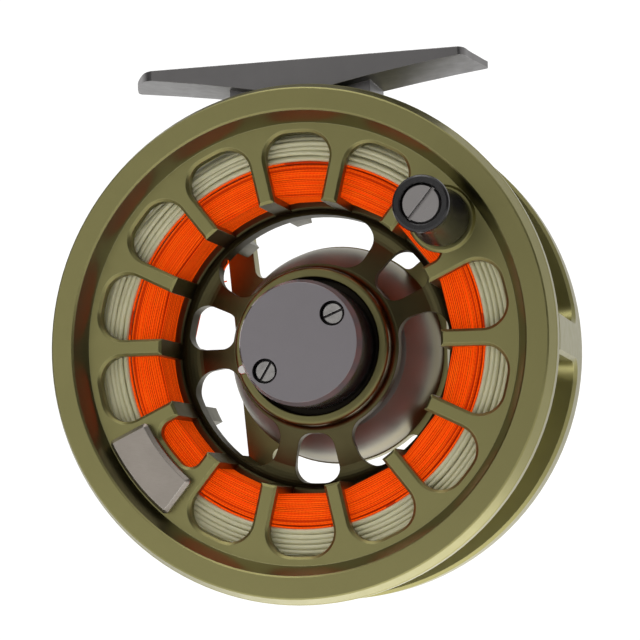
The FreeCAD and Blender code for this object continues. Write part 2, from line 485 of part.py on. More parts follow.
# ------------------------------------------------------------------ drag housing and what is in it
def make_housing():
    # flat face, then one sweep of a circle down to the back plate
    w = Part.Wire([
        Part.makeLine(V(10.0, HOUSING_FACE_Y, 0), V(DOME_FLAT_R, HOUSING_FACE_Y, 0)),
        Part.Arc(V(DOME_FLAT_R, HOUSING_FACE_Y, 0), V(18.58, 26.96, 0), V(HUB_PLATE_R, BACK_Y, 0)).toShape(),
        Part.makeLine(V(HUB_PLATE_R, BACK_Y, 0), V(CAVITY_R, BACK_Y, 0)),
        Part.makeLine(V(CAVITY_R, BACK_Y, 0), V(CAVITY_R, CAVITY_Y, 0)),
        Part.makeLine(V(CAVITY_R, CAVITY_Y, 0), V(10.0, CAVITY_Y, 0)),
        Part.makeLine(V(10.0, CAVITY_Y, 0), V(10.0, HOUSING_FACE_Y, 0))])
    s = Part.Face(w).revolve(V(0, 0, 0), V(0, 1, 0), 360)
    for a in (30, 150, 270):
        k = Part.makeBox(KEY_DEPTH + 2, BACK_Y - 27.6 + 1, 2 * KEY_HALF, V(CAVITY_R - 2, 27.6, -KEY_HALF))
        s = s.cut(turn(k, a))
    for a in (90, 210, 330):
        x, z = polar(17.4, a)
        s = s.cut(rod(x, z, 1.1, 29.4, 40))
    x, z = polar(13.2, 100)
    s = s.cut(rod(x, z, 0.7, 23.2, 26))
    return one(s)


add("drag_housing", make_housing())
for name, a in (("housing_screw_a", 90), ("housing_screw_b", 210), ("housing_screw_c", 330)):
    x, z = polar(17.4, a)
    s = rod(x, z, 1.1, 29.5, REEL_DEPTH - 1.4).fuse(rod(x, z, 2.0, REEL_DEPTH - 1.4, REEL_DEPTH - 0.2))
    k = hexagon(0.95, REEL_DEPTH - 1.0, REEL_DEPTH + 1)
    k.translate(V(x, 0, z))
    add(name, one(s.cut(k)))
add("housing_seal", one(lathe([(9.06, 22.7), (9.5, 22.5), (10.0, 22.5), (10.0, 24.2), (9.5, 24.2), (9.06, 24.0)])))
# spindle: fixed in the back plate, flange inside, groove near the tip
add("spindle", one(lathe([
    (0, SPINDLE_TIP), (2.9, SPINDLE_TIP), (SPINDLE_R, SPINDLE_TIP + 0.6), (SPINDLE_R, 13.2), (3.1, 13.6), (3.1, 14.5), (SPINDLE_R, 14.9),
    (SPINDLE_R, 31.5), (6.0, 31.5), (6.0, BACK_Y), (SPINDLE_R, BACK_Y), (SPINDLE_R, 40.2), (1.2, 40.2), (1.2, 37.0), (0, 37.0)])))
# rotor: hexagon that drives the spool, round boss, flange, sleeve
hub = hexagon(HEX_R, 18.3, 22.2, HANDLE_DEG).fuse(lathe([
    (0, 22.0), (9.0, 22.0), (9.0, 24.5), (8.0, 24.5), (8.0, 26.0), (14.2, 26.0), (14.2, 27.2), (6.8, 27.2), (6.8, 31.2), (0, 31.2)]))
hub = hub.cut(rod(0, 0, 5.5, 18, 32)).fuse(ring(5.45, 6.6, 25.6, 26.6).cut(rod(0, 0, 5.5, 18, 32)))
add("drag_hub", one(hub))
add("hub_bearing", one(lathe([(SPINDLE_R + RUN_CLEAR, 18.5), (5.5, 18.5), (5.5, 25.4), (SPINDLE_R + RUN_CLEAR, 25.4)])))
add("one_way_clutch", one(lathe([(SPINDLE_R + RUN_CLEAR, 25.6), (5.5, 25.6), (5.5, 31.0), (SPINDLE_R + RUN_CLEAR, 31.0)])))
# click gear, 24 teeth
TEETH = 24
pts = []
for i in range(TEETH):
    a = 360.0 / TEETH * i
    pts += [polar(10.9, a - 4.4), polar(11.8, a - 1.3), polar(11.8, a + 1.3), polar(10.9, a + 4.4)]
gear = prism(pts, 24.65, 25.85).cut(rod(0, 0, 8.0, 20, 30))
add("click_gear", one(gear))
add("carbon_disc_front", ring(7.1, 14.0, 27.2, 27.9))


def keyed(r0, r1, y0, y1):
    s = ring(r0, r1, y0, y1)
    for a in (30, 150, 270):
        s = s.fuse(turn(Part.makeBox(CAVITY_R + KEY_DEPTH - 0.1 - (r1 - 1.5), y1 - y0, 2 * KEY_HALF - 0.2, V(r1 - 1.5, y0, -KEY_HALF + 0.1)), a))
    return one(s)


add("steel_disc", keyed(7.1, 15.0, 27.95, 28.95))
add("carbon_disc_rear", ring(7.1, 14.0, 29.0, 29.7))
add("pressure_plate", keyed(7.1, 15.0, 29.7, 31.0))
add("drag_spring", ring(8.8, 13.4, 31.0, 31.5))
thrust = ring(8.8, 13.4, 31.5, 32.15)
for a in (30, 150, 270):
    x, z = polar(11.0, a)
    thrust = thrust.fuse(rod(x, z, 0.95, 32.0, 36.3))
add("thrust_ring", one(thrust))

# click pawl on its pin, leaning on the gear, with a torsion spring on the same pin
px, pz = polar(13.2, 100)
add("pawl_spring", rod(px, pz, 1.2, 24.45, 24.95).cut(rod(px, pz, 0.75, 24, 26)))
add("pawl_pin", rod(px, pz, 0.7, 23.3, 25.8))


def make_pawl():
    gap = 75.0 + 7.5            # a tooth gap lies between two teeth
    tipx, tipz = polar(11.05, gap)
    t1 = polar(12.0, gap + 3.0)
    t2 = polar(12.0, gap - 2.6)
    o1 = polar(13.2, gap - 2.0)
    o2 = polar(14.1, 93.0)
    i1 = polar(12.25, 93.0)
    arm = prism([(tipx, tipz), t1, i1, (px + 0.2, pz - 1.0), (px, pz), (px + 0.2, pz + 1.0), o2, o1, t2], 25.0, 25.8)
    s = arm.fuse(rod(px, pz, 1.15, 25.0, 25.8)).cut(rod(px, pz, 0.75, 20, 30))
    return one(s)


add("click_pawl", make_pawl())
# drag knob on the rear face, with eight scallops, and its retaining screw
knob = lathe([(3.55, 36.0), (14.0, 36.0), (14.6, 36.6), (14.6, 40.2), (13.6, 41.3), (7.0, 41.6), (6.6, 41.3), (6.6, 40.2), (3.55, 40.2)])
knob = knob.cut(ring(9.8, 12.2, 35.5, 36.85))
for i in range(8):
    x, z = polar(17.6, 22.5 + 45 * i)
    knob = knob.cut(rod(x, z, 4.4, 35, 43))
add("drag_knob", one(knob))
ks = lathe([(0, 40.25), (5.6, 40.25), (5.6, 41.2), (5.2, 41.5), (0, 41.5)]).fuse(rod(0, 0, 1.2, 37.1, 40.3))
ks = ks.cut(Part.makeBox(14, 0.8, 0.9, V(-7, 41.0, -0.45)))
add("knob_screw", one(ks))

bad = 0
for name, shape in parts.items():
    ok = shape.isValid() and len(shape.Solids) == 1
    if not ok:
        bad += 1
    print("%-24s valid=%s solids=%d volume=%.1f" % (name, shape.isValid(), len(shape.Solids), shape.Volume))
    shape.exportStep("parts/%s.step" % name)
print(len(parts), "parts,", bad, "to look at")
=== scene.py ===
import bpy
import math
import numpy as np
from mathutils import Vector, Matrix


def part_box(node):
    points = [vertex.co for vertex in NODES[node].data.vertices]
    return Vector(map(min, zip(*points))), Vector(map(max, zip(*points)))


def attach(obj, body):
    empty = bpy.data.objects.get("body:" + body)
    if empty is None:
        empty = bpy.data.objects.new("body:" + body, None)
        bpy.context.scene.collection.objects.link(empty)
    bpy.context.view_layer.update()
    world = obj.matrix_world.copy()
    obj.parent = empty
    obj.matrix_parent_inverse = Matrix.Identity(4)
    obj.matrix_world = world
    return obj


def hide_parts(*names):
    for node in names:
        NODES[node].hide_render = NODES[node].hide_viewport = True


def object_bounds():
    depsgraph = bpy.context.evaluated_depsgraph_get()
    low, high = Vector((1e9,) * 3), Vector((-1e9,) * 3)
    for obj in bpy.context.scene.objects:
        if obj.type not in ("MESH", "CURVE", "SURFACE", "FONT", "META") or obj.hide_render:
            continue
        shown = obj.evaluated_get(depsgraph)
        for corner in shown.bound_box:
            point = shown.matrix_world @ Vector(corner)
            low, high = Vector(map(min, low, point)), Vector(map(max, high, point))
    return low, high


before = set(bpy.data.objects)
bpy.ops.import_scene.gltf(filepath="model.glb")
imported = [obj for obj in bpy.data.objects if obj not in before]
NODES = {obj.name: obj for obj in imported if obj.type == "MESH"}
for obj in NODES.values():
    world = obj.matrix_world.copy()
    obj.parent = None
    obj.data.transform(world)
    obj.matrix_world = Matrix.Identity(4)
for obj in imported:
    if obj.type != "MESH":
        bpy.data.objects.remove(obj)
cad_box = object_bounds()
scene = bpy.context.scene

# ------------------------------------------------------------------ frame facts, metres
lo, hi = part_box("spool")
AX = Vector(((lo.x + hi.x) / 2, 0.0, (lo.z + hi.z) / 2))      # spindle line is x = AX.x, z = AX.z
Y0 = lo.y                                                    # front face of the rim
MM = 0.001
b_lo, b_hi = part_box("backing")
l_lo, l_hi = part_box("fly_line")
BACK_R = (b_hi.x - b_lo.x) / 2          # outer radius of the backing
LINE_R = (l_hi.x - l_lo.x) / 2          # outer radius of the fly line
PACK_Y0, PACK_Y1 = b_lo.y, b_hi.y
ARBOR_R = 26.3 * MM                     # outside of the arbor bars
HANDLE_DEG = 37.8
N_SPOKES = 14

# ------------------------------------------------------------------ camera
cam_data = bpy.data.cameras.new("camera")
cam_data.sensor_fit = "HORIZONTAL"
cam_data.sensor_width = 36.0
cam_data.lens = 117.43
cam_data.clip_start, cam_data.clip_end = 0.01, 50.0
cam = bpy.data.objects.new("camera", cam_data)
scene.collection.objects.link(cam)
cx = Vector((0.968805, 0.246642, -0.024190))
cy = Vector((0.047769, -0.090068, 0.994788))
cz = Vector((0.243180, -0.964910, -0.099040))
rot = Matrix((cx, cy, cz)).transposed().to_4x4()
cam.matrix_world = Matrix.Translation((0.091345, -0.355562, -0.081930)) @ rot
scene.camera = cam
scene.view_settings.view_transform = "Standard"
scene.view_settings.look = "None"
scene.view_settings.exposure = 0.0
scene.view_settings.gamma = 1.0


# ------------------------------------------------------------------ node helpers
def node(nt, kind, loc=(0, 0), **props):
    n = nt.nodes.new(kind)
    n.location = loc
    for k, v in props.items():
        setattr(n, k, v)
    return n


def link(nt, a, b):
    nt.links.new(a, b)


def new_mat(name):
    m = bpy.data.materials.new(name)
    m.use_nodes = True
    nt = m.node_tree
    for n in list(nt.nodes):
        nt.nodes.remove(n)
    out = node(nt, "ShaderNodeOutputMaterial", (900, 0))
    p = node(nt, "ShaderNodeBsdfPrincipled", (560, 0))
    link(nt, p.outputs[0], out.inputs[0])
    return m, nt, p


def mix_rgb(nt, fac, a, b, blend="MIX"):
    n = node(nt, "ShaderNodeMix", data_type="RGBA", blend_type=blend)
    for sock, val in ((n.inputs[0], fac), (n.inputs[6], a), (n.inputs[7], b)):
        if hasattr(val, "is_linked"):
            link(nt, val, sock)
        else:
            sock.default_value = val if not isinstance(val, tuple) else (*val, 1.0)
    return n.outputs[2]


def math_node(nt, op, a, b=None, c=None, clamp=False):
    n = node(nt, "ShaderNodeMath", operation=op, use_clamp=clamp)
    for i, val in enumerate((a, b, c)):
        if val is None:
            continue
        if hasattr(val, "is_linked"):
            link(nt, val, n.inputs[i])
        else:
            n.inputs[i].default_value = val
    return n.outputs[0]


def map_range(nt, v, a0, a1, b0, b1, smooth=False):
    n = node(nt, "ShaderNodeMapRange")
    if smooth:
        n.interpolation_type = "SMOOTHSTEP"
    link(nt, v, n.inputs[0])
    for i, x in enumerate((a0, a1, b0, b1)):
        n.inputs[i + 1].default_value = x
    return n.outputs[0]


def noise(nt, vec, scale, detail=2.0, rough=0.5, dims="3D"):
    n = node(nt, "ShaderNodeTexNoise", noise_dimensions=dims)
    link(nt, vec, n.inputs["Vector"])
    n.inputs["Scale"].default_value = scale
    n.inputs["Detail"].default_value = detail
    n.inputs["Roughness"].default_value = rough
    return n.outputs[0]


def obj_coord(nt):
    return node(nt, "ShaderNodeTexCoord").outputs["Object"]


def stretched(nt, vec, sx, sy, sz, about=None):
    n = node(nt, "ShaderNodeMapping")
    if about is not None:
        n.inputs["Location"].default_value = (-about[0] * sx, -about[1] * sy, -about[2] * sz)
    n.inputs["Scale"].default_value = (sx, sy, sz)
    link(nt, vec, n.inputs["Vector"])
    return n.outputs[0]


def radius_of(nt, vec, centre):
    """distance from a line parallel to Y through centre"""
    m = node(nt, "ShaderNodeVectorMath", operation="SUBTRACT")
    link(nt, vec, m.inputs[0])
    m.inputs[1].default_value = (centre[0], 0, centre[2])
    k = node(nt, "ShaderNodeVectorMath", operation="MULTIPLY")
    link(nt, m.outputs[0], k.inputs[0])
    k.inputs[1].default_value = (1, 0, 1)
    le = node(nt, "ShaderNodeVectorMath", operation="LENGTH")
    link(nt, k.outputs[0], le.inputs[0])
    return le.outputs["Value"]


def metal(name, color, rough=0.35, metallic=1.0, var=0.05, rough_var=0.04, grain=0.05, grain_scale=9000.0, edge=0.0, edge_color=None,
          edge_rough=None, bevel=0.00012, turned=None, turned_scale=6000.0, turned_depth=0.03, coat=0.0, coat_rough=0.3, brushed=None,
          brushed_strength=0.1, spec_tint=None, dark=None, patch_scale=40.0):
    """a finished metal surface: patchy tone, fine grain, softened edges lightened as rubbed wear and as painted
    highlight, and turning or brushing lines where it has them
    """
    m, nt, p = new_mat(name)
    vec = obj_coord(nt)
    patch = noise(nt, vec, patch_scale, 3.0, 0.55)
    lo_c = tuple(c * (1 - var) for c in color)
    hi_c = tuple(min(1, c * (1 + var)) for c in color)
    base = mix_rgb(nt, map_range(nt, patch, 0.3, 0.7, 0, 1), lo_c, hi_c)
    fine = noise(nt, vec, grain_scale, 1.0, 0.5)
    base = mix_rgb(nt, map_range(nt, fine, 0.35, 0.65, 0.0, 0.10), base, tuple(c * 0.75 for c in color))
    rv = map_range(nt, noise(nt, vec, 420.0, 3.0, 0.6), 0.3, 0.7, rough - rough_var, rough + rough_var)
    height = fine
    if turned is not None:
        r = radius_of(nt, vec, turned)
        cmb = node(nt, "ShaderNodeCombineXYZ")
        link(nt, r, cmb.inputs[0])
        rings = noise(nt, cmb.outputs[0], turned_scale, 2.0, 0.6)
        height = math_node(nt, "ADD", math_node(nt, "MULTIPLY", fine, 0.6), math_node(nt, "MULTIPLY", rings, 0.8))
        base = mix_rgb(nt, map_range(nt, rings, 0.35, 0.65, 0.0, 0.10), base, hi_c)
    if brushed is not None:
        lines = noise(nt, stretched(nt, vec, *brushed), 1.0, 3.0, 0.65)
        height = math_node(nt, "ADD", math_node(nt, "MULTIPLY", fine, 0.3), lines)
        base = mix_rgb(nt, map_range(nt, lines, 0.3, 0.7, 0.0, brushed_strength * 3), base, tuple(c * 0.7 for c in color))
        rv = math_node(nt, "ADD", rv, map_range(nt, lines, 0.3, 0.7, -0.05, 0.05))
    bev = node(nt, "ShaderNodeBevel", samples=4)
    bev.inputs["Radius"].default_value = bevel
    geo = node(nt, "ShaderNodeNewGeometry")
    # painted highlight and wear: edges found through the bevel normal are lightened towards the edge colour in patches,
    # and can be made glossier
    if edge > 0:
        dot = node(nt, "ShaderNodeVectorMath", operation="DOT_PRODUCT")
        link(nt, bev.outputs[0], dot.inputs[0])
        link(nt, geo.outputs["Normal"], dot.inputs[1])
        worn_and_highlit_edge = map_range(nt, dot.outputs["Value"], 0.985, 0.86, 0.0, 1.0)
        worn_and_highlit_edge = math_node(nt, "MULTIPLY", worn_and_highlit_edge, map_range(nt, noise(nt, vec, 260.0, 3.0, 0.7), 0.35, 0.65, 0.55, 1.0), clamp=True)
        worn_and_highlit_edge = math_node(nt, "MULTIPLY", worn_and_highlit_edge, edge, clamp=True)
        base = mix_rgb(nt, worn_and_highlit_edge, base, edge_color or tuple(min(1, c * 1.6 + 0.05) for c in color))
        if edge_rough is not None:
            rr = node(nt, "ShaderNodeMix", data_type="FLOAT")
            link(nt, worn_and_highlit_edge, rr.inputs[0]); link(nt, rv, rr.inputs[2]); rr.inputs[3].default_value = edge_rough
            rv = rr.outputs[0]
    bump = node(nt, "ShaderNodeBump")
    bump.inputs["Strength"].default_value = grain
    bump.inputs["Distance"].default_value = 0.00003
    link(nt, height, bump.inputs["Height"])
    link(nt, bev.outputs[0], bump.inputs["Normal"])
    link(nt, base, p.inputs["Base Color"])
    link(nt, rv, p.inputs["Roughness"])
    link(nt, bump.outputs[0], p.inputs["Normal"])
    p.inputs["Metallic"].default_value = metallic
    if coat > 0:
        p.inputs["Coat Weight"].default_value = coat
        p.inputs["Coat Roughness"].default_value = coat_rough
    return m, nt, p


def assign(mat, *names):
    for n in names:
        o = NODES[n]
        if len(o.material_slots) == 0:
            o.data.materials.append(mat)
        for s in o.material_slots:
            s.material = mat


# ------------------------------------------------------------------ materials
spindle_line = (AX.x, 0.0, AX.z)
OLIVE = (0.232, 0.215, 0.090)
olive, ont, op = metal("olive_anodised", OLIVE, rough=0.36, var=0.035, rough_var=0.03, grain=0.10, grain_scale=7000.0, edge=0.35,
                    edge_color=(0.52, 0.50, 0.28), bevel=0.00016, turned=spindle_line, turned_scale=5200.0, patch_scale=35.0)
assign(olive, "frame")
# the spool: the same finish, with painted shade: coloured much darker down in the web, inside the arbor and deeper than
# about 9 mm behind the rim face
spool_mat, snt, sp = metal("olive_anodised_spool", OLIVE, rough=0.36, var=0.035, rough_var=0.03, grain=0.10, grain_scale=7000.0, edge=0.35,
                           edge_color=(0.52, 0.50, 0.28), bevel=0.00016, turned=spindle_line, turned_scale=5200.0, patch_scale=35.0)
svec = obj_coord(snt)
ssep = node(snt, "ShaderNodeSeparateXYZ")
link(snt, svec, ssep.inputs[0])
deep = map_range(snt, ssep.outputs[1], Y0 + 12.9 * MM, Y0 + 15.3 * MM, 0.0, 1.0, True)
inner = map_range(snt, radius_of(snt, svec, spindle_line), 26.6 * MM, 26.0 * MM, 0.0, 1.0)
shade = math_node(snt, "MULTIPLY", math_node(snt, "ADD", math_node(snt, "MULTIPLY", deep, 0.6), map_range(snt, ssep.outputs[1], Y0 + 9.0 * MM, Y0 + 11.5 * MM, 0.0, 0.4, True)), inner)
old = sp.inputs["Base Color"].links[0].from_socket
link(snt, mix_rgb(snt, math_node(snt, "MULTIPLY", shade, 0.72), old, (0.030, 0.022, 0.014)), sp.inputs["Base Color"])
# painted shade: the inside of the hub's bore is coloured near black, as hardly any light comes back from it
old = sp.inputs["Base Color"].links[0].from_socket
bore = math_node(snt, "MULTIPLY", map_range(snt, radius_of(snt, svec, spindle_line), 12.30 * MM, 12.14 * MM, 0.0, 1.0), map_range(snt, ssep.outputs[1], Y0 + 11.0 * MM, Y0 + 11.6 * MM, 0.0, 1.0))
link(snt, mix_rgb(snt, math_node(snt, "MULTIPLY", bore, 0.92), old, (0.012, 0.010, 0.009)), sp.inputs["Base Color"])
# the cone between rim face and recess was cut last, so it is smoother and mirrors more
srad = radius_of(snt, svec, spindle_line)
cone = math_node(snt, "MULTIPLY", map_range(snt, srad, 38.20 * MM, 38.45 * MM, 0.0, 1.0, True), map_range(snt, srad, 40.05 * MM, 39.90 * MM, 0.0, 1.0, True))
cone = math_node(snt, "MULTIPLY", cone, map_range(snt, ssep.outputs[1], Y0 + 3.9 * MM, Y0 + 3.75 * MM, 0.0, 1.0))
old = sp.inputs["Base Color"].links[0].from_socket
link(snt, mix_rgb(snt, math_node(snt, "MULTIPLY", cone, 0.8), old, (0.205, 0.192, 0.105)), sp.inputs["Base Color"])
old = sp.inputs["Roughness"].links[0].from_socket
smix = node(snt, "ShaderNodeMix", data_type="FLOAT")
link(snt, cone, smix.inputs[0]); link(snt, old, smix.inputs[2]); smix.inputs[3].default_value = 0.34
link(snt, smix.outputs[0], sp.inputs["Roughness"])
assign(spool_mat, "spool")
housing, hnt, hp = metal("housing_anodised", (0.215, 0.190, 0.155), rough=0.50, metallic=0.72, var=0.05, grain=0.08, edge=0.25, edge_color=(0.5, 0.46, 0.36),
                      turned=spindle_line, turned_scale=4200.0)
hvec = obj_coord(hnt)
hsep = node(hnt, "ShaderNodeSeparateXYZ")
link(hnt, hvec, hsep.inputs[0])
# painted light and painted shade: the housing is coloured a lighter grey near the front as painted highlight, and
# darker brown towards its rear as painted shade; roughness and metallic change along with it
far = map_range(hnt, hsep.outputs[1], Y0 + 24.0 * MM, Y0 + 29.5 * MM, 0.0, 1.0, True)
old = hp.inputs["Base Color"].links[0].from_socket
link(hnt, mix_rgb(hnt, far, mix_rgb(hnt, 0.9, old, (0.285, 0.305, 0.285)), (0.165, 0.145, 0.088)), hp.inputs["Base Color"])
link(hnt, map_range(hnt, far, 0.0, 1.0, 0.58, 0.34), hp.inputs["Roughness"])
link(hnt, map_range(hnt, far, 0.0, 1.0, 0.55, 1.0), hp.inputs["Metallic"])
assign(housing, "drag_housing")
gun, _, _ = metal("gunmetal_anodised", (0.155, 0.15, 0.15), rough=0.36, var=0.05, grain=0.10, grain_scale=6000.0, edge=0.45,
                  edge_color=(0.55, 0.54, 0.53), bevel=0.0002, patch_scale=60.0)
assign(gun, "reel_foot", "drag_knob")
capm, cnt_, cp = metal("cap_anodised", (0.222, 0.207, 0.218), rough=0.33, var=0.03, grain=0.06, edge=0.3, edge_color=(0.6, 0.58, 0.6),
                       turned=spindle_line, turned_scale=5600.0)
# its bevel and side were cut after anodising and are glossier and less metallic; painted shade colours them darker,
# going near black down the side, and colours the two screw seats near black
cvec = obj_coord(cnt_)
csep = node(cnt_, "ShaderNodeSeparateXYZ")
link(cnt_, cvec, csep.inputs[0])
face_y = map_range(cnt_, csep.outputs[1], Y0 + 3.60 * MM, Y0 + 3.72 * MM, 0.0, 1.0)
old = cp.inputs["Base Color"].links[0].from_socket
cap_side_shade = mix_rgb(cnt_, map_range(cnt_, csep.outputs[1], Y0 + 4.8 * MM, Y0 + 5.3 * MM, 0.0, 1.0), (0.16, 0.150, 0.158), (0.020, 0.017, 0.018))
seat = math_node(cnt_, "LESS_THAN", radius_of(cnt_, cvec, spindle_line), 10.2 * MM)
cap_side_shade = mix_rgb(cnt_, seat, cap_side_shade, (0.012, 0.011, 0.011))
link(cnt_, mix_rgb(cnt_, math_node(cnt_, "MULTIPLY", face_y, 0.96), old, cap_side_shade), cp.inputs["Base Color"])
old = cp.inputs["Roughness"].links[0].from_socket
rmix = node(cnt_, "ShaderNodeMix", data_type="FLOAT")
link(cnt_, face_y, rmix.inputs[0]); link(cnt_, old, rmix.inputs[2]); rmix.inputs[3].default_value = 0.24
link(cnt_, rmix.outputs[0], cp.inputs["Roughness"])
link(cnt_, map_range(cnt_, face_y, 0.0, 1.0, 1.0, 0.12), cp.inputs["Metallic"])
assign(capm, "hub_cap")
hub, _, _ = metal("hub_aluminium", (0.62, 0.61, 0.60), rough=0.30, turned=spindle_line, grain=0.08)
assign(hub, "drag_hub", "pressure_plate")
steel, _, _ = metal("steel", (0.52, 0.51, 0.50), rough=0.28, grain=0.06, edge=0.2)
assign(steel, "spindle", "steel_disc", "detent_retainer", "detent_ring", "hub_bearing", "one_way_clutch", "drag_spring", "click_pawl",
       "pawl_pin", "pawl_spring", "click_gear", "handle_post")
pol, _, _ = metal("polished_steel", (0.62, 0.60, 0.58), rough=0.22, rough_var=0.02, grain=0.03, edge=0.2, bevel=0.00006)
assign(pol, "hub_pin")
capscrew, xnt, xp = metal("blackened_screw", (0.30, 0.29, 0.28), rough=0.24, rough_var=0.04, grain=0.10, edge=0.9, edge_color=(0.60, 0.58, 0.56), edge_rough=0.2,
                       bevel=0.00018, var=0.2, patch_scale=900.0)
# painted shade: the screw is coloured near black from about 4.5 mm behind the rim face inwards
xsep = node(xnt, "ShaderNodeSeparateXYZ")
link(xnt, obj_coord(xnt), xsep.inputs[0])
old = xp.inputs["Base Color"].links[0].from_socket
link(xnt, mix_rgb(xnt, map_range(xnt, xsep.outputs[1], Y0 + 4.42 * MM, Y0 + 4.55 * MM, 0.0, 0.93), old, (0.012, 0.011, 0.011)), xp.inputs["Base Color"])
assign(capscrew, "cap_screw_a", "cap_screw_b")
satin, _, _ = metal("satin_screw", (0.28, 0.265, 0.26), rough=0.30, grain=0.06, edge=0.5, edge_color=(0.75, 0.74, 0.72), bevel=0.00010)
assign(satin, "handle_screw", "foot_screw_left", "foot_screw_right", "housing_screw_a", "housing_screw_b", "housing_screw_c", "knob_screw",
       "counterweight_screw_a", "counterweight_screw_b")
cw_dir = math.radians(HANDLE_DEG + 180)
cwm, _, _ = metal("brushed_steel", (0.33, 0.295, 0.26), rough=0.34, grain=0.35, edge=0.7, edge_color=(0.86, 0.82, 0.76), edge_rough=0.16,
                  bevel=0.00022, brushed=(900.0, 900.0, 14000.0), brushed_strength=0.10, patch_scale=160.0, var=0.08)
assign(cwm, "counterweight")
brass, _, _ = metal("brass", (0.72, 0.52, 0.25), rough=0.30, turned=spindle_line, grain=0.05)
assign(brass, "spool_bushing", "handle_bushing")


def dull(name, color, rough, var=0.15, scale=900.0, bump=0.2, spec=0.5, weave=False, metallic=0.0, coat=0.0, coat_rough=0.3, bevel=0.00015):
    m, nt, p = new_mat(name)
    vec = obj_coord(nt)
    n1 = noise(nt, vec, scale, 3.0, 0.6)
    base = mix_rgb(nt, map_range(nt, n1, 0.3, 0.7, 0, 1), tuple(c * (1 - var) for c in color), tuple(min(1, c * (1 + var)) for c in color))
    height = n1
    if weave:
        w1 = node(nt, "ShaderNodeTexWave", wave_type="BANDS", bands_direction="X")
        w2 = node(nt, "ShaderNodeTexWave", wave_type="BANDS", bands_direction="Z")
        for w in (w1, w2):
            link(nt, vec, w.inputs["Vector"])
            w.inputs["Scale"].default_value = 900.0
        height = math_node(nt, "MULTIPLY", w1.outputs[1], w2.outputs[1])
        base = mix_rgb(nt, height, base, tuple(min(1, c * 3) for c in color))
    bev = node(nt, "ShaderNodeBevel", samples=4)
    bev.inputs["Radius"].default_value = bevel
    b = node(nt, "ShaderNodeBump")
    b.inputs["Strength"].default_value = bump
    b.inputs["Distance"].default_value = 0.00003
    link(nt, height, b.inputs["Height"])
    link(nt, bev.outputs[0], b.inputs["Normal"])
    link(nt, base, p.inputs["Base Color"])
    link(nt, map_range(nt, noise(nt, vec, 240.0, 2.0, 0.5), 0.3, 0.7, rough - 0.04, rough + 0.04), p.inputs["Roughness"])
    link(nt, b.outputs[0], p.inputs["Normal"])
    p.inputs["Metallic"].default_value = metallic
    p.inputs["Specular IOR Level"].default_value = spec
    if coat > 0:
        p.inputs["Coat Weight"].default_value = coat
        p.inputs["Coat Roughness"].default_value = coat_rough
    return m


assign(dull("carbon", (0.02, 0.02, 0.022), 0.4, weave=True), "carbon_disc_front", "carbon_disc_rear")
assign(dull("seal_rubber", (0.02, 0.02, 0.02), 0.7, bump=0.3), "housing_seal")
assign(dull("black_plastic", (0.03, 0.03, 0.032), 0.45), "thrust_ring")
assign(dull("black_handle", (0.012, 0.011, 0.012), 0.24, var=0.2, scale=1400.0, bump=0.10, spec=0.32, coat=0.15, coat_rough=0.10), "handle_knob")


# ------------------------------------------------------------------ wound line
BAR0 = math.radians(HANDLE_DEG + 180.0 / N_SPOKES)
STEP = 2 * math.pi / N_SPOKES
BAR_HALF = math.asin(1.45 * MM / ARBOR_R)


def poly(theta):
    """how far inside the circle the line runs where it is stretched straight between two arbor bars"""
    d = np.mod(theta - BAR0 + STEP / 2, STEP) - STEP / 2
    half = STEP / 2 - BAR_HALF
    f = np.cos(half) / np.cos(np.abs(d) - STEP / 2)
    return np.where(np.abs(d) < BAR_HALF, 1.0, f)


def wobble(rng, theta, amp, lowest=1, highest=9):
    s = np.zeros_like(theta)
    for k in range(lowest, highest + 1):
        s += rng.normal() / math.sqrt(k) * np.sin(k * theta + rng.uniform(0, 2 * math.pi))
    return amp * s / 1.6


def smooth(x, a, b):
    t = np.clip((x - a) / (b - a), 0, 1)
    return t * t * (3 - 2 * t)


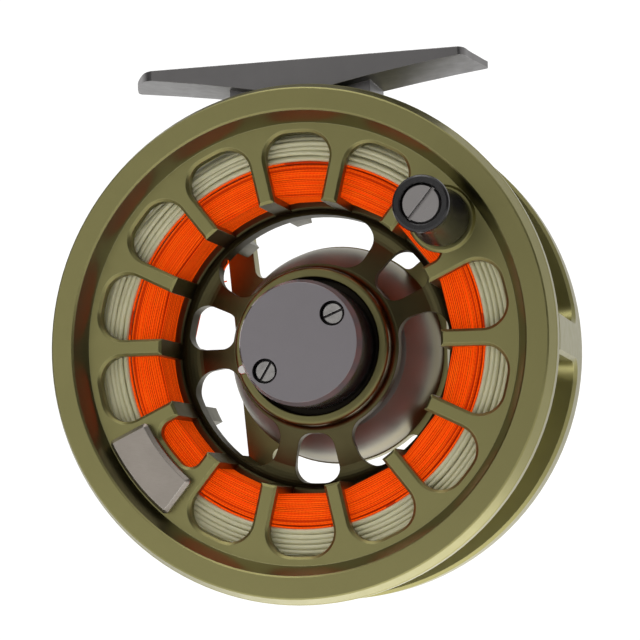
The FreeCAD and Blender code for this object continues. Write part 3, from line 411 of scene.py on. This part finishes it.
class Strands:
    """many closed turns of line gathered into one mesh"""

    def __init__(self, radius, sides, segments):
        self.a, self.s, self.n = radius, sides, segments
        self.theta = BAR0 + np.arange(segments) * 2 * math.pi / segments
        self.v, self.f, self.along, self.count = [], [], [], 0
        self.turns, self.length = 0, 0.0

    def turn(self, r, y, tint, theta=None, sides=None, phase=0.0):
        """r and y are the turn's radius and depth at each of its angles"""
        a = self.a
        theta = self.theta if theta is None else theta
        n, s = len(theta), sides or self.s
        self.turns += 1
        self.length += 2 * math.pi * float(np.mean(r))
        phi = np.arange(s) * 2 * math.pi / s + phase
        rr = r[:, None] + a * np.cos(phi)[None, :]
        yy = y[:, None] + a * np.sin(phi)[None, :]
        x = AX.x + rr * np.cos(theta)[:, None]
        z = AX.z + rr * np.sin(theta)[:, None]
        v = np.stack([x, yy, z], -1).reshape(-1, 3)
        i = np.arange(n)[:, None]
        j = np.arange(s)[None, :]
        i2, j2 = (i + 1) % n, (j + 1) % s
        f = np.stack([i * s + j, i * s + j2, i2 * s + j2, i2 * s + j], -1).reshape(-1, 4) + self.count
        self.v.append(v)
        self.f.append(f)
        crown = np.maximum(np.abs(np.cos(phi)), np.abs(np.sin(phi)))
        self.along.append(np.stack([np.broadcast_to(theta[:, None], (n, s)), np.broadcast_to(crown[None, :], (n, s)), np.full((n, s), tint)], -1).reshape(-1, 3))
        self.count += n * s

    def build(self, name, mat):
        v = np.concatenate(self.v).astype(np.float32)
        f = np.concatenate(self.f).astype(np.int32)
        me = bpy.data.meshes.new(name)
        me.vertices.add(len(v))
        me.vertices.foreach_set("co", v.ravel())
        me.loops.add(len(f) * 4)
        me.loops.foreach_set("vertex_index", f.ravel())
        me.polygons.add(len(f))
        me.polygons.foreach_set("loop_start", np.arange(len(f), dtype=np.int32) * 4)
        me.polygons.foreach_set("use_smooth", np.ones(len(f), dtype=bool))
        me.update(calc_edges=True)
        me.validate()
        at = me.attributes.new("strand", "FLOAT_VECTOR", "POINT")
        at.data.foreach_set("vector", np.concatenate(self.along).astype(np.float32).ravel())
        o = bpy.data.objects.new(name, me)
        scene.collection.objects.link(o)
        me.materials.append(mat)
        print("%s: %d turns, %.1f m" % (name, self.turns, self.length))
        return o


def strand_coord(nt):
    a = node(nt, "ShaderNodeAttribute", attribute_name="strand")
    s = node(nt, "ShaderNodeSeparateXYZ")
    link(nt, a.outputs["Vector"], s.inputs[0])
    return s.outputs[0], s.outputs[1], s.outputs[2]


def braid_material():
    """braided polyester: bright orange, fine fibres along each strand; painted shade darkens each strand's sides where
    it meets the next one
    """
    m, nt, p = new_mat("orange_backing")
    th, crown, tint = strand_coord(nt)
    vec = obj_coord(nt)
    weave = math_node(nt, "ADD", math_node(nt, "MULTIPLY", math_node(nt, "SINE", math_node(nt, "ADD", math_node(nt, "MULTIPLY", th, 300.0), math_node(nt, "MULTIPLY", tint, 40.0))), 0.5), 0.5)
    base = mix_rgb(nt, weave, (0.88, 0.076, 0.001), (1.0, 0.104, 0.002))
    base = mix_rgb(nt, map_range(nt, noise(nt, vec, 420.0, 3.0, 0.6), 0.45, 0.7, 0.0, 0.4), base, (1.0, 0.14, 0.003))
    strand_gap_shade = map_range(nt, crown, 0.94, 0.72, 0.0, 0.94)
    base = mix_rgb(nt, strand_gap_shade, base, (0.17, 0.008, 0.001))
    # painted shade: the strand's tint value darkens it; for the backing it rises with how deep the turn is sunk, plus
    # random tone
    base = mix_rgb(nt, map_range(nt, tint, 0.0, 1.0, 0.0, 0.82), base, (0.27, 0.014, 0.001))
    bump = node(nt, "ShaderNodeBump")
    bump.inputs["Strength"].default_value = 0.22
    bump.inputs["Distance"].default_value = 0.00003
    link(nt, weave, bump.inputs["Height"])
    link(nt, base, p.inputs["Base Color"])
    link(nt, bump.outputs[0], p.inputs["Normal"])
    link(nt, map_range(nt, weave, 0, 1, 0.66, 0.54), p.inputs["Roughness"])
    p.inputs["Specular IOR Level"].default_value = 0.05
    # painted light: the backing glows by itself through emission, standing in for its fluorescent dye, which gives back
    # more red light than falls on it
    link(nt, base, p.inputs["Emission Color"])
    p.inputs["Emission Strength"].default_value = 0.62
    return m


def line_material():
    """smooth plastic-coated fly line, pale sage"""
    m, nt, p = new_mat("pale_line")
    th, crown, tint = strand_coord(nt)
    vec = obj_coord(nt)
    base = mix_rgb(nt, map_range(nt, noise(nt, vec, 160.0, 3.0, 0.6), 0.3, 0.7, 0, 1), (0.60, 0.575, 0.37), (0.70, 0.665, 0.44))
    base = mix_rgb(nt, map_range(nt, tint, 0.0, 1.0, 0.0, 0.45), base, (0.50, 0.475, 0.29))
    # painted shade: each strand's sides, where it meets the next one, are coloured darker
    base = mix_rgb(nt, map_range(nt, crown, 0.88, 0.74, 0.0, 0.55), base, (0.20, 0.185, 0.095))
    bump = node(nt, "ShaderNodeBump")
    bump.inputs["Strength"].default_value = 0.15
    bump.inputs["Distance"].default_value = 0.00003
    link(nt, noise(nt, vec, 3500.0, 2.0, 0.5), bump.inputs["Height"])
    link(nt, bump.outputs[0], p.inputs["Normal"])
    link(nt, base, p.inputs["Base Color"])
    link(nt, map_range(nt, noise(nt, vec, 500.0, 2.0, 0.5), 0.3, 0.7, 0.30, 0.40), p.inputs["Roughness"])
    p.inputs["Subsurface Weight"].default_value = 0.25
    p.inputs["Subsurface Radius"].default_value = (0.0006, 0.0005, 0.0003)
    p.inputs["Coat Weight"].default_value = 0.3
    p.inputs["Coat Roughness"].default_value = 0.2
    return m


orange = braid_material()
pale = line_material()
d = 0.36 * MM
pitch = 0.338 * MM
S = Strands(d / 2, 8, N_SPOKES * 7)
rng = np.random.RandomState(11)
th = S.theta
shape = poly(th)
RING_LO, RING_HI = Y0 + 15.6 * MM, Y0 + 20.6 * MM


def packed_radius(r, y, shape=shape):
    """a turn of mean radius r: straight between the bars near the arbor, rounder further out, round where it lies on the web ring"""
    near = math.exp(-(r - ARBOR_R) / (3.2 * MM))
    off = np.clip(np.maximum(RING_LO - y, y - RING_HI) / (1.2 * MM), 0, 1)
    return r * (1 + near * off * (shape - 1))


layers = int((BACK_R - ARBOR_R - 0.05 * MM) / pitch)
CORNER = 2.0 * MM                       # rounding of the pack's inner corners
for side, ybase, sgn in (("front", PACK_Y0, 1.0), ("rear", PACK_Y1, -1.0)):
    for k in range(layers):
        r0 = ARBOR_R + d / 2 + pitch * k
        for col in range(2):
            sunk = max(0.0, rng.normal(0.02, 0.05)) * MM
            if rng.uniform() < 0.30:
                sunk += rng.uniform(0.14, 0.36) * MM
            depth_in = max(0.0, CORNER - (r0 - ARBOR_R))
            sunk_c = CORNER - math.sqrt(max(0.0, CORNER ** 2 - depth_in ** 2))
            y = ybase + sgn * (d / 2 + 0.10 * MM + sunk + sunk_c + col * 0.31 * MM) + sgn * np.abs(wobble(rng, th, 0.07 * MM, 2, 11))
            r = packed_radius(r0 + (pitch / 2 if col else 0) * (1 if k < layers - 1 else 0), y) + wobble(rng, th, 0.045 * MM, 1, 12)
            if k == layers - 1:
                r = np.full_like(th, BACK_R - d / 2)
            r = np.clip(r, ARBOR_R * shape + d * 0.4, BACK_R - d / 2)
            # the tint value rises with how deep the turn is sunk, so sunk turns are coloured darker as painted shade,
            # plus some random tone
            S.turn(r, y, float(np.clip(sunk / (0.3 * MM) + rng.uniform(-0.2, 0.3), 0, 1)))
nrow = int((PACK_Y1 - PACK_Y0 - 3.8 * MM) / (0.345 * MM))
for k in range(nrow):
    yc = PACK_Y0 + 1.9 * MM + (PACK_Y1 - PACK_Y0 - 3.8 * MM) * k / (nrow - 1)
    y = yc + wobble(rng, th, 0.05 * MM, 1, 8)
    r = packed_radius(ARBOR_R + d / 2 + 0.01 * MM, y) + np.abs(wobble(rng, th, 0.03 * MM, 2, 9))
    S.turn(r, y, float(rng.uniform(0, 0.5)))
backing = S.build("backing_turns", orange)
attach(backing, "spool_set")
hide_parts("backing")

# the turns inside the coil, pressed square against each other
K = Strands(0.98 * pitch / math.sqrt(2), 4, N_SPOKES * 2)
k_shape = poly(K.theta)
for i in range(int((BACK_R - ARBOR_R - 0.39 * MM) / pitch)):
    r0 = ARBOR_R + 0.56 * MM + pitch * i
    depth_in = max(0.0, CORNER - (r0 - ARBOR_R))
    inset = 1.22 * MM + CORNER - math.sqrt(max(0.0, CORNER ** 2 - depth_in ** 2))
    y_lo, y_hi = PACK_Y0 + inset, PACK_Y1 - inset
    m = int((y_hi - y_lo) / (pitch * 1.03))
    for j in range(m):
        y = y_lo + (j + 0.5) * (y_hi - y_lo) / m
        # a tint of 0.9 colours these inner turns dark: painted shade
        K.turn(packed_radius(r0, y, k_shape) * np.ones(K.n), np.full(K.n, y), 0.9, phase=math.pi / 4)
core = K.build("backing_inner_turns", orange)
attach(core, "spool_set")


def tube(name, points, radius, mat, sides=8):
    """thin round thread through points, smoothed"""
    cu = bpy.data.curves.new(name, "CURVE")
    cu.dimensions = "3D"
    cu.bevel_depth = radius
    cu.bevel_resolution = 2
    cu.resolution_u = 10
    cu.use_fill_caps = True
    sp_ = cu.splines.new("BEZIER")
    sp_.bezier_points.add(len(points) - 1)
    for b_, q in zip(sp_.bezier_points, points):
        b_.co = q
        b_.handle_left_type = b_.handle_right_type = "AUTO"
    tmp = bpy.data.objects.new(name + "_curve", cu)
    scene.collection.objects.link(tmp)
    bpy.context.view_layer.update()
    me_ = bpy.data.meshes.new_from_object(tmp)
    bpy.data.objects.remove(tmp)
    bpy.data.curves.remove(cu)
    me_.name = name
    n_ = len(me_.vertices)
    at_ = me_.attributes.new("strand", "FLOAT_VECTOR", "POINT")
    at_.data.foreach_set("vector", np.tile(np.array([0.3, 1.0, 0.1], dtype=np.float32), n_))
    me_.materials.clear()
    me_.materials.append(mat)
    o_ = bpy.data.objects.new(name, me_)
    scene.collection.objects.link(o_)
    return o_


def at(x, y, z):
    """millimetres about the spindle and the rim face, into the frame"""
    return Vector((AX.x + x * MM, Y0 + y * MM, AX.z + z * MM))


# the loose end slips out between two arbor bars and hangs behind the web
TAIL = [(-20.10, 21.80, 18.10), (-18.60, 20.60, 17.40), (-16.95, 19.30, 16.80), (-17.57, 19.70, 15.94), (-18.52, 20.50, 14.91), (-18.89, 21.00, 13.97), (-18.52, 21.20, 13.42), (-17.94, 21.50, 13.48)]
tail = tube("backing_tail", [at(*q) for q in TAIL], 0.13 * MM, orange)
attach(tail, "spool_set")

D = 0.98 * MM
P = 0.90 * MM
L = Strands(D / 2, 12, N_SPOKES * 8)
rng = np.random.RandomState(23)
th = L.theta
for side, ybase, sgn in (("front", PACK_Y0, 1.0), ("rear", PACK_Y1, -1.0)):
    for k in range(5):
        for col in range(2):
            r0 = BACK_R + D / 2 + P * k + (P / 2 if col else 0)
            y = ybase + sgn * (D / 2 + 0.08 * MM + col * 0.80 * MM) + sgn * np.abs(wobble(rng, th, 0.10 * MM, 1, 6))
            if k == 4:
                top = np.abs(np.angle(np.exp(1j * (th - math.radians(80)))))
                y = y + sgn * (3.0 - 0.5 * col) * MM * (1 - smooth(top, math.radians(38), math.radians(66)))
            r = r0 + wobble(rng, th, 0.12 * MM, 1, 7) * (0 if k == 0 and col == 0 else 1)     # the first turns lie on the backing
            r = np.clip(r, BACK_R + D / 2, LINE_R - D / 2)
            L.turn(r, y, float(rng.uniform(0, 1)))
n_out = int((PACK_Y1 - PACK_Y0 - 1.6 * MM) / (0.99 * MM))
for lay in range(2):
    for k in range(n_out + lay):
        yc = PACK_Y0 + 0.8 * MM + D / 2 + (PACK_Y1 - PACK_Y0 - 1.6 * MM - D) * (k + (0.0 if not lay else -0.5)) / (n_out - 1)
        if not PACK_Y0 + D / 2 < yc < PACK_Y1 - D / 2:
            continue
        u = (yc - PACK_Y0) / (PACK_Y1 - PACK_Y0) * 2 - 1
        top = LINE_R - D / 2 - 0.05 * MM - 1.0 * MM * abs(u) ** 5 - lay * 0.82 * MM
        y = yc + wobble(rng, th, 0.07 * MM, 1, 5)
        low = 1.3 * MM * (1 - smooth(np.abs(np.angle(np.exp(1j * (th - math.radians(80))))), math.radians(38), math.radians(66))) * max(0.0, 1 - (yc - PACK_Y0) / (3.2 * MM))
        r = np.minimum(top + wobble(rng, th, 0.05 * MM, 1, 6), LINE_R - D / 2) - low
        L.turn(r, y, float(rng.uniform(0, 1)))
in_th = BAR0 + np.arange(N_SPOKES * 3) * 2 * math.pi / (N_SPOKES * 3)
for lay in range(4):
    for k in range(17):
        y = PACK_Y0 + 2.75 * MM + (PACK_Y1 - PACK_Y0 - 5.5 * MM) * k / 16
        r = np.full(len(in_th), BACK_R - 0.03 * MM + D / 2 + P * lay)
        L.turn(r, np.full(len(in_th), y), float(rng.uniform(0, 1)), theta=in_th, sides=6)
line = L.build("fly_line_turns", pale)
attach(line, "spool_set")
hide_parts("fly_line")

# ------------------------------------------------------------------ floor and light
b_low, b_high = cad_box
floor_z = b_low.z - 0.055
centre = Vector((AX.x, Y0, AX.z))
ring_n = 96
me = bpy.data.meshes.new("floor")
me.from_pydata([(centre.x + 0.75 * math.cos(2 * math.pi * i / ring_n), 0.75 * math.sin(2 * math.pi * i / ring_n), floor_z) for i in range(ring_n)], [],
               [tuple(range(ring_n))])
floor = bpy.data.objects.new("floor", me)
scene.collection.objects.link(floor)
fm, nt, p = new_mat("floor_pale")
vec = obj_coord(nt)
link(nt, mix_rgb(nt, noise(nt, vec, 3.0, 2.0), (0.90, 0.90, 0.90), (0.94, 0.94, 0.94)), p.inputs["Base Color"])
p.inputs["Roughness"].default_value = 0.9
p.inputs["Specular IOR Level"].default_value = 0.1
p.inputs["Emission Color"].default_value = (1, 1, 1, 1)
# painted light: a round patch of floor under and behind the reel glows up to several times brighter than the rest,
# which also lifts the shadow there
near = node(nt, "ShaderNodeVectorMath", operation="DISTANCE")
link(nt, vec, near.inputs[0])
near.inputs[1].default_value = (0.03, 0.06, floor_z)
link(nt, map_range(nt, near.outputs["Value"], 0.14, 0.03, 0.25, 1.9, True), p.inputs["Emission Strength"])
me.materials.append(fm)

world = bpy.data.worlds.new("studio")
scene.world = world
world.use_nodes = True
nt = world.node_tree
for n in list(nt.nodes):
    nt.nodes.remove(n)
out = node(nt, "ShaderNodeOutputWorld", (800, 0))
tc = node(nt, "ShaderNodeTexCoord")
direction = tc.outputs["Generated"]
sep = node(nt, "ShaderNodeSeparateXYZ")
link(nt, direction, sep.inputs[0])


def glow(towards, inner, outer, level):
    """soft round patch of light in the surroundings, angles in degrees"""
    d = node(nt, "ShaderNodeVectorMath", operation="DOT_PRODUCT")
    link(nt, direction, d.inputs[0])
    d.inputs[1].default_value = Vector(towards).normalized()
    return map_range(nt, d.outputs["Value"], math.cos(math.radians(outer)), math.cos(math.radians(inner)), 0.0, level, True)


ROOM = 0.07
lights = [
    glow((-0.54, -0.83, 0.14), 6, 46, 0.86),
    map_range(nt, sep.outputs[1], 0.05, 0.45, 0.0, 0.85, True),
    map_range(nt, sep.outputs[2], 0.50, 0.88, 0.0, 1.0, True),
    map_range(nt, sep.outputs[2], -0.45, -0.85, 0.0, 0.75, True),
    math_node(nt, "MULTIPLY", map_range(nt, sep.outputs[1], -0.30, 0.0, 0.0, 0.85, True), map_range(nt, sep.outputs[0], 0.2, 0.7, 0.0, 1.0, True)),
]
total = lights[0]
for q in lights[1:]:
    total = math_node(nt, "MAXIMUM", total, q)
total = math_node(nt, "ADD", total, ROOM)
bg = node(nt, "ShaderNodeBackground")
bg.inputs[0].default_value = (1, 0.995, 0.985, 1)
link(nt, total, bg.inputs[1])
white = node(nt, "ShaderNodeBackground")
white.inputs[0].default_value = (1, 1, 1, 1)
white.inputs[1].default_value = 1.1
lp = node(nt, "ShaderNodeLightPath")
ms = node(nt, "ShaderNodeMixShader")
link(nt, lp.outputs["Is Camera Ray"], ms.inputs[0])
link(nt, bg.outputs[0], ms.inputs[1])
link(nt, white.outputs[0], ms.inputs[2])
link(nt, ms.outputs[0], out.inputs[0])


def softbox(name, loc, target, size, power, color=(1, 1, 1)):
    li = bpy.data.lights.new(name, "AREA")
    li.shape = "RECTANGLE"
    li.size, li.size_y = size
    li.energy = power
    li.color = color
    o = bpy.data.objects.new(name, li)
    o.location = loc
    o.rotation_mode = "QUATERNION"
    o.rotation_quaternion = (Vector(target) - Vector(loc)).to_track_quat("-Z", "Y")
    o.visible_camera = False
    scene.collection.objects.link(o)
    return o


softbox("top", centre + Vector((-0.15, -0.35, 1.1)), centre, (0.7, 0.5), 3.0)
